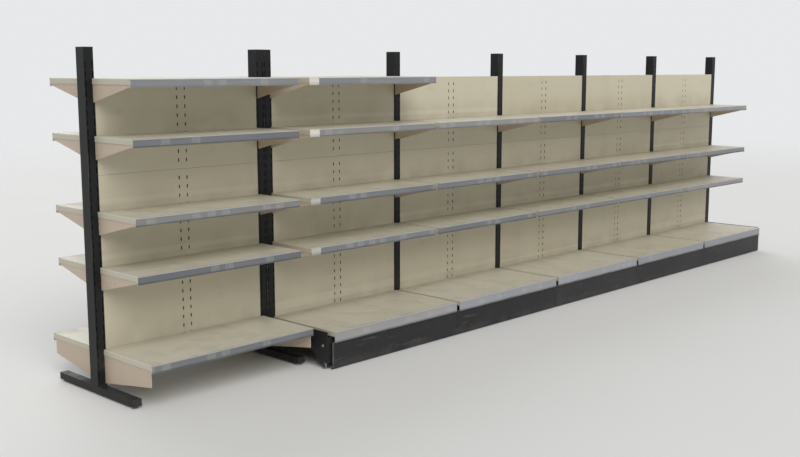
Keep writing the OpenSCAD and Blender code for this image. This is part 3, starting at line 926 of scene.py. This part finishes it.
# %% [markdown]
# ## Weld beads at the end unit's posts
# The two posts of the end unit are welded to their foot beams. A bead is a lumpy roll: a thin
# cylinder is laid along X, cut into rings, every second ring is swollen, the ends are drawn in,
# and a Subdivision Surface rounds the ripples. It lies more than half inside the post and the
# beam whose corner it fills.

# %% Weld beads
BEAD, BEAD_R, RINGS, OUT_OF_CORNER = 0.036, 0.0026, 13, 0.0008
roll = {"vertices": 8, "radius": BEAD_R, "depth": BEAD, "rotation": (0, math.pi / 2, 0)}
bead = begin(bpy.ops.mesh.primitive_cylinder_add, **roll)
pick(bead, edges=lambda a, b: abs(a.x - b.x) > BEAD / 2)
bpy.ops.mesh.subdivide(number_cuts=RINGS)
step = BEAD / (RINGS + 1)
for ring in range(1, RINGS + 1, 2):
    x = -BEAD / 2 + ring * step
    pick(bead, edges=lambda a, b: abs(a.x - x) < NEAR and abs(b.x - x) < NEAR)
    bpy.ops.transform.resize(value=(1, 1.28, 1.28), center_override=(x, 0, 0))
pick(bead, faces=lambda middle, normal: abs(normal.x) > 0.9)
bpy.ops.transform.resize(value=(1, 0.45, 0.45), center_override=(0, 0, 0))
end()
rounding = bead.modifiers.new("rounding", "SUBSURF")
rounding.levels = rounding.render_levels = 1
bpy.ops.object.modifier_apply(modifier="rounding")

weld_y, weld_z = POST_FACE + OUT_OF_CORNER, BEAM_LOW + BEAM_H + OUT_OF_CORNER
bead_places = [((x, side * weld_y, weld_z), (0, 0, 0)) for x in end_posts for side in (-1, 1)]
set_out("weld_beads", bead, bead_places, end_post_coat)

# %% [markdown]
# ## The floor
# The floor is plain and pale, and fades out far from the run into the same pale air, so that
# no edge of it shows.

# %% Floor
FLOOR_R, FADE_FROM, FADE_TO = 22.0, 7.0, 17.0
bpy.ops.object.select_all(action="DESELECT")
bpy.ops.mesh.primitive_circle_add(vertices=96, radius=FLOOR_R, fill_type="NGON")
floor = bpy.context.object
floor.name = "floor"
material, place = start("pale_floor")
x, y, _ = place.parts()
pale = tint(rgb(0.78, 0.78, 0.77), rgb(0.81, 0.81, 0.80), grain(place, 0.8, 3.0))
shader = material.node_tree.nodes["Principled BSDF"]
feed(shader, {"Base Color": pale, "Roughness": 0.7, "Specular IOR Level": 0.15})
far = (x * x + y * y).root().rise(FADE_FROM, FADE_TO)
clear = place.node("ShaderNodeBsdfTransparent")
fade = place.node("ShaderNodeMixShader", inputs={0: far, 1: Wire(shader.outputs[0]), 2: clear})
feed(material.node_tree.nodes["Material Output"], {"Surface": fade})
floor.data.materials.append(material)
print("floor radius", FLOOR_R, "m, faded from", FADE_FROM, "to", FADE_TO, "m")

# %% [markdown]
# ## The air
# The air is bright only to the camera and in reflections. The light that it casts is set
# lower, and leaves the rest to the lamps.

# %% Air
AMBIENT, SEEN = 0.45, 1.0
world = bpy.data.worlds.new("pale_air")
world.use_nodes = True
bpy.context.scene.world = world
background = world.node_tree.nodes["Background"]
ray = Wire(background.outputs[0]).node("ShaderNodeLightPath", output="Is Camera Ray")
seen = ray.most(ray.also("Is Glossy Ray")).most(ray.also("Is Transmission Ray"))
strength = AMBIENT + seen * (SEEN - AMBIENT)
feed(background, {"Color": rgb(0.80, 0.81, 0.82), "Strength": strength})
print("the air casts", AMBIENT, "and is seen at", SEEN)

# %% [markdown]
# ## The lamps
# Two wide soft lamps bring the light to the level at which a colour renders about as it is
# written. They stand low enough to shine in over each shelf, so a panel is light at its foot
# and dim under the next shelf.

# %% Lamps
SPREAD = 46


def lamp(name, direction, strength, colour):
    """A sun whose light comes from a patch of sky, SPREAD degrees wide."""
    data = bpy.data.lights.new(name, "SUN")
    data.energy, data.angle, data.color = strength, math.radians(SPREAD), colour
    thing = bpy.data.objects.new(name, data)
    thing.rotation_euler = Vector(direction).to_track_quat("-Z", "Y").to_euler()
    bpy.context.scene.collection.objects.link(thing)
    print(name, "strength", strength)


lamp("key", (0.38, 0.70, -0.68), 1.85, (1.0, 0.985, 0.96))
lamp("fill", (-0.35, -0.80, -0.62), 0.9, (0.96, 0.98, 1.0))

# %% [markdown]
# ## View settings
# Standard keeps colours as they are written.

# %% Finish the scene
bpy.context.scene.view_settings.view_transform = "Standard"
